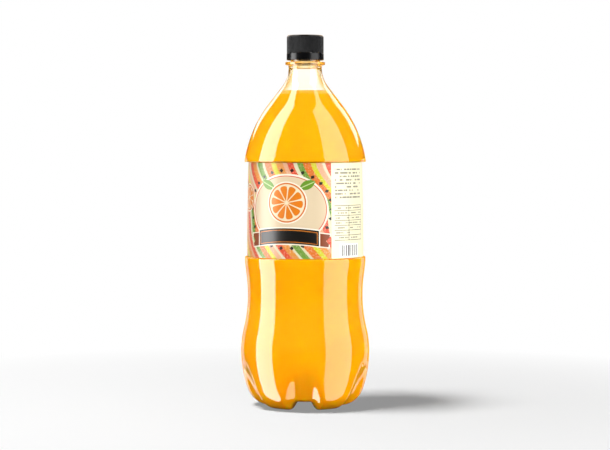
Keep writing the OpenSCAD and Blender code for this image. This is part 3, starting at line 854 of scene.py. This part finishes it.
cap_low, cap_high = [Vector(c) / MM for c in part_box("cap_shell")]
cap_r, shell_z, cap_top_z = cap_high.x, cap_low.z, cap_high.z
cap_bore_r, cap_round = 14.2, 1.9
ceiling_z = liner_top_z
knurls, knurl_depth, knurl_samples = 120, 0.3, 6
cap_thread_crest_r = 13.0
cap_thread_foot_w, cap_thread_crest_w = 1.9, 0.7
gate_r, gate_sink = 1.6, 0.15

around_cap = knurls * knurl_samples
bearing = np.arange(around_cap) * FULL_TURN / around_cap
ceiling = straight([1, ceiling_z], [cap_bore_r - 0.5, ceiling_z], 3)
bore = straight([cap_bore_r, ceiling_z - 0.5], [cap_bore_r, shell_z + 0.4], 44)
skirt = np.concatenate([
    [[cap_bore_r + 0.3, shell_z]],
    arc([cap_r - 0.25, shell_z + 0.25], 0.25, -90, 0, 2),
    straight([cap_r, shell_z + 0.4], [cap_r, cap_top_z - cap_round], 8),
    arc([cap_r - cap_round, cap_top_z - cap_round], cap_round, 0, 90, 12)[1:],
])
top = np.concatenate([
    straight([cap_r - cap_round - 0.5, cap_top_z], [gate_r + 0.2, cap_top_z], 5),
    arc([gate_r - 0.05, cap_top_z - gate_sink], 0.1, 60, 0, 1),
    [[0.6, cap_top_z - gate_sink]],
])
cap_line = np.concatenate([ceiling, bore, skirt, top])
rings = turned(cap_line, around_cap)
radius, height = cap_line[:, :1], cap_line[:, 1:]
on_bore = np.zeros((len(cap_line), 1))
on_bore[len(ceiling):len(ceiling) + len(bore)] = 1
on_skirt = np.zeros((len(cap_line), 1))
on_skirt[len(ceiling) + len(bore):len(ceiling) + len(bore) + len(skirt)] = 1
knurl_fade = smooth((cap_top_z - cap_round * 0.45 - height) / (cap_round * 0.5))
narrow, steep = 0.2, 1.2
groove = smooth(-narrow - steep * np.cos(knurls * bearing))
thread = thread_height(bearing, height, thread_top_z - pitch / 2, cap_bore_r - cap_thread_crest_r,
                       cap_thread_foot_w, cap_thread_crest_w)
change = -on_bore * thread - on_skirt * knurl_fade * knurl_depth * groove
rings[..., :2] *= (1 + change / radius)[..., None]
cap = new_piece("screw_cap", *closed_stack(rings, ceiling_z, cap_top_z - gate_sink), crease=50)

black_pe, tree, out = new_material("moulded_black_polyethylene")
place = add(tree, "TexCoord").outputs["Object"]
flow = add(tree, "TexNoise", place, 1 / (4 * MM), 3)
fine = add(tree, "TexNoise", place, 1 / (0.4 * MM), 2)
pe_colour = add(tree, "Mix", flow, linear("#040405"), linear("#09090a"), data_type="RGBA")
pe_gloss = add(tree, "MapRange", flow, 0.3, 0.7, 0.2, 0.27)
bump = add(tree, "Bump", 0.15, 0.01 * MM, sockets=[("Height", fine)])
moulded = add(tree, "BsdfPrincipled", sockets=[
    ("Base Color", pe_colour), ("Roughness", pe_gloss), ("IOR", 1.54),
    ("Specular IOR Level", 0.25), ("Normal", bump)])
tree.links.new(moulded.outputs[0], out.inputs["Surface"])
cap.data.materials.append(black_pe)
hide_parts("cap_shell")
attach(cap, "cap")

# ---- tamper band -----------------------------------------------------------------------------
# The band is moulded in one with the cap and slit from it, all but a few thin bridges. Folded
# flaps inside it catch under the bead of the neck, so the bridges break as the cap is opened.

band_low, band_high = [Vector(c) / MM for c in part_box("tamper_band")]
band_r, band_z = band_high.x, band_low.z
band_h, slit, band_bore_r = 5.75, 0.3, 14.3
band_edge = 0.3
bridges, bridge_angle, bridge_inset = 8, math.radians(4), 0.3
flaps, flap_angle = 10, math.radians(30)
flap_low, flap_h, flap_t, flap_root_h = 0.4, 1.7, 0.5, 1.0
flap_bore_r, flap_lean = 13.4, 0.3


def sector(section, start, span, steps):
    """A closed section in the (radius, height) plane, carried round the axis over a span."""
    rings = swept(section[:, 0], section[:, 1], start + np.linspace(0, span, steps + 1))
    first = np.arange(len(section))[None, ::-1]
    last = steps * len(section) + np.arange(len(section))[None, :]
    return rings.reshape(-1, 3), [skin_faces(steps + 1, len(section)), first, last]


def joined(shells):
    """Several closed shells as the points and faces of one mesh."""
    points, faces = [], []
    for part_points, part_faces in shells:
        before = sum(len(p) for p in points)
        points.append(part_points)
        faces += [f + before for f in part_faces]
    return np.concatenate(points), faces


band_top = band_z + band_h
band_line = np.concatenate([
    arc([band_r - band_edge, band_z + band_edge], band_edge, -90, 0, 4),
    straight([band_r, band_z + 0.9], [band_r, band_top - 0.5], 4),
    arc([band_r - 0.15, band_top - 0.15], 0.15, 0, 90, 3),
    straight([band_bore_r + 0.1, band_top], [band_bore_r, band_top - 0.1], 1),
    straight([band_bore_r, band_top - 1], [band_bore_r, band_z + 0.2], 4),
    [[band_bore_r + 0.2, band_z]],
])
rings = turned(band_line, around)
shells = [(rings.reshape(-1, 3), [skin_faces(len(rings), around, looped=True)])]
flap_z = band_z + flap_low
flap_line = np.array([
    [flap_bore_r + flap_lean, flap_z], [band_bore_r + 0.2, flap_z],
    [band_bore_r + 0.2, flap_z + flap_root_h], [flap_bore_r + flap_t, flap_z + flap_h],
    [flap_bore_r, flap_z + flap_h]])
shells += [sector(flap_line, FULL_TURN * i / flaps, flap_angle, 8) for i in range(flaps)]
bridge_line = np.array([
    [band_bore_r + bridge_inset, band_top - slit], [band_r - bridge_inset, band_top - slit],
    [band_r - bridge_inset, band_top + slit], [band_bore_r + bridge_inset, band_top + slit]])
shells += [sector(bridge_line, FULL_TURN * i / bridges, bridge_angle, 2) for i in range(bridges)]
band = new_piece("tear_band", *joined(shells))
band.data.materials.append(black_pe)
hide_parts("tamper_band")
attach(band, "band")

# ---- studio ----------------------------------------------------------------------------------
# A white sweep in a studio. Lamps light matt surfaces, each those of the pieces or of the floor.
# Cards, which only gloss can see, make the upright reflections. The ones behind the bottle leave
# a gap at the label's height.

object_only = bpy.data.collections.new("object_only")
for piece in [o for o in bpy.context.collection.objects if o.type == "MESH"]:
    object_only.objects.link(piece)

lens_px, frame_px, sensor = 2000.0, 610.0, 36.0
camera_away, camera_h = 1.7, 0.2254
camera_turn, camera_tilt = math.radians(2), math.radians(2.4)
axis_px, frame_mid_px = 305.2, 305.0

camera_data = bpy.data.cameras.new("camera")
camera_data.sensor_width = sensor
camera_data.lens = lens_px / frame_px * sensor
camera_data.clip_end = 50
camera = bpy.data.objects.new("camera", camera_data)
camera.location = (camera_away * math.sin(camera_turn), -camera_away * math.cos(camera_turn),
                   camera_h)
camera.rotation_euler = (math.pi / 2 - camera_tilt, 0,
                         camera_turn + (axis_px - frame_mid_px) / lens_px)
bpy.context.collection.objects.link(camera)
bpy.context.scene.camera = camera


def stage_sheet(name, centre, width, height, bearing=None):
    """A flat rectangle that stands upright at a bearing and faces the object, or lies flat."""
    w, h = width / 2, height / 2
    flat = [(-w, -h, 0), (w, -h, 0), (w, h, 0), (-w, h, 0)]
    mesh = bpy.data.meshes.new(name)
    mesh.from_pydata(flat, [], [(0, 1, 2, 3)])
    sheet = bpy.data.objects.new(name, mesh)
    sheet.location = centre
    if bearing is not None:
        sheet.rotation_euler = (math.pi / 2, 0, math.radians(bearing))
    bpy.context.collection.objects.link(sheet)
    return sheet


def round_the_object(bearing, away, height):
    """A place round the object: bearing 0 is towards the camera, and grows to its right in
    degrees."""
    a = math.radians(bearing)
    return (away * math.sin(a), -away * math.cos(a), height)


# Floor: white, plain, fading into the white surround a little way out.
floor = stage_sheet("floor", (0, 0, 0), 8, 8)
floor_white, tree, out = new_material("floor_white")
ray = add(tree, "LightPath")
place = add(tree, "TexCoord").outputs["Object"]
from_middle = add(tree, "VectorMath", place, operation="LENGTH")
fade = add(tree, "MapRange", from_middle.outputs["Value"], 0.12, 0.5, 0.25, 1.0)
share = add(tree, "Math", fade, ray.outputs["Is Camera Ray"], operation="MULTIPLY")
matt = add(tree, "BsdfDiffuse", linear("#fbfbfb"))
white = add(tree, "Emission", linear("#ffffff"), 1.0)
tree.links.new(add(tree, "MixShader", share, matt, white).outputs[0], out.inputs["Surface"])
floor.data.materials.append(floor_white)


def glow_material(name, strength, colour="#ffffff"):
    """A plain glowing surface of a given strength, where 1 is white."""
    material, tree, out = new_material(name)
    glow = add(tree, "Emission", linear(colour), strength)
    tree.links.new(glow.outputs[0], out.inputs["Surface"])
    return material


def card(name, bearing, away, width, low, high, strength, colour="#ffffff"):
    """A softbox face that only shows in gloss."""
    spot = round_the_object(bearing, away, (low + high) / 2)
    sheet = stage_sheet(name, spot, width, high - low, bearing)
    sheet.data.materials.append(glow_material(name + "_glow", strength, colour))
    sheet.visible_camera = sheet.visible_diffuse = sheet.visible_transmission = False
    sheet.visible_shadow = False


def lamp(name, bearing, elevation, away, width, height, radiance, lights):
    """A softbox that lights the matt surfaces of a collection and is aimed at the middle of the
    object. Only the pieces cast a shadow in its light."""
    aim = Vector((0, 0, 0.15))
    rise = math.radians(elevation)
    data = bpy.data.lights.new(name, "AREA")
    data.shape = "RECTANGLE"
    data.size, data.size_y = width, height
    data.energy = radiance * math.pi * width * height
    data.cycles.use_multiple_importance_sampling = False
    made = bpy.data.objects.new(name, data)
    made.location = aim + Vector(round_the_object(bearing, away * math.cos(rise),
                                                  away * math.sin(rise)))
    made.rotation_euler = (aim - made.location).to_track_quat("-Z", "Y").to_euler()
    made.visible_camera = made.visible_glossy = made.visible_transmission = False
    made.light_linking.receiver_collection = lights
    made.light_linking.blocker_collection = object_only
    bpy.context.collection.objects.link(made)


card("left_card", -76.5, 0.9, 0.60, -1.5, 2.4, 8.4)
card("right_card", 65, 0.9, 0.917, -1.5, 2.4, 3.6)
for low, high, glow in ((-0.2, 0.26, 1.0), (0.4, 2.2, 3.6)):
    card("left_rim", -148, 0.9, 0.26, low, high, glow)
    card("right_rim", 143, 0.9, 0.3, low, high, glow)
    card("back_card", 180, 1.2, 1.2, low, high, 1.4, "#f2a81c")
card("left_foot_card", -131, 0.9, 0.36, -0.6, -0.22, 3.0)
card("right_foot_card", 131, 0.9, 0.36, -0.6, -0.22, 1.8)

floor_only = bpy.data.collections.new("floor_only")
floor_only.objects.link(floor)
lamp("floor_key", -68, 69, 1.2, 0.36, 0.26, 54.0, floor_only)
lamp("object_key", -68, 69, 1.2, 0.36, 0.3, 16.0, object_only)
lamp("left_side", -60, 12, 1.2, 0.8, 0.6, 9.5, object_only)
lamp("right_side", 62, 12, 1.2, 0.8, 0.6, 13.0, object_only)
lamp("back_fill", 180, 20, 2.4, 2.0, 1.0, 6.0, object_only)
lamp("front_lamp", 0, 34, 2.4, 2.0, 1.0, 4.7, object_only)
lamp("low_fill", 0, -32, 1.2, 1.4, 0.8, 1.1, object_only)

# Backdrop: the white that is seen through clear plastic.
backdrop = stage_sheet("backdrop", round_the_object(180, 1.2, 0.9), 5.0, 4.2, 180)
backdrop.data.materials.append(glow_material("backdrop_white", 1.3))
backdrop.visible_camera = backdrop.visible_diffuse = backdrop.visible_glossy = False
backdrop.visible_shadow = False

# The floor and the drink don't tint each other.
floor.visible_glossy = floor.visible_diffuse = False
bottle.visible_diffuse = drink.visible_diffuse = False

world = bpy.data.worlds.new("surround")
bpy.context.scene.world = world
world.use_nodes = True
tree = world.node_tree
tree.nodes.clear()
ray = add(tree, "LightPath")
level = add(tree, "Mix", ray.outputs["Is Glossy Ray"], 0.06, 0.02, data_type="FLOAT")
level = add(tree, "Mix", ray.outputs["Is Transmission Ray"], level, 1.2, data_type="FLOAT")
level = add(tree, "Mix", ray.outputs["Is Camera Ray"], level, 1.0, data_type="FLOAT")
surround = add(tree, "Background", linear("#ffffff"), level)
tree.links.new(surround.outputs[0], add(tree, "OutputWorld").inputs["Surface"])

bpy.context.scene.view_settings.view_transform = "Standard"
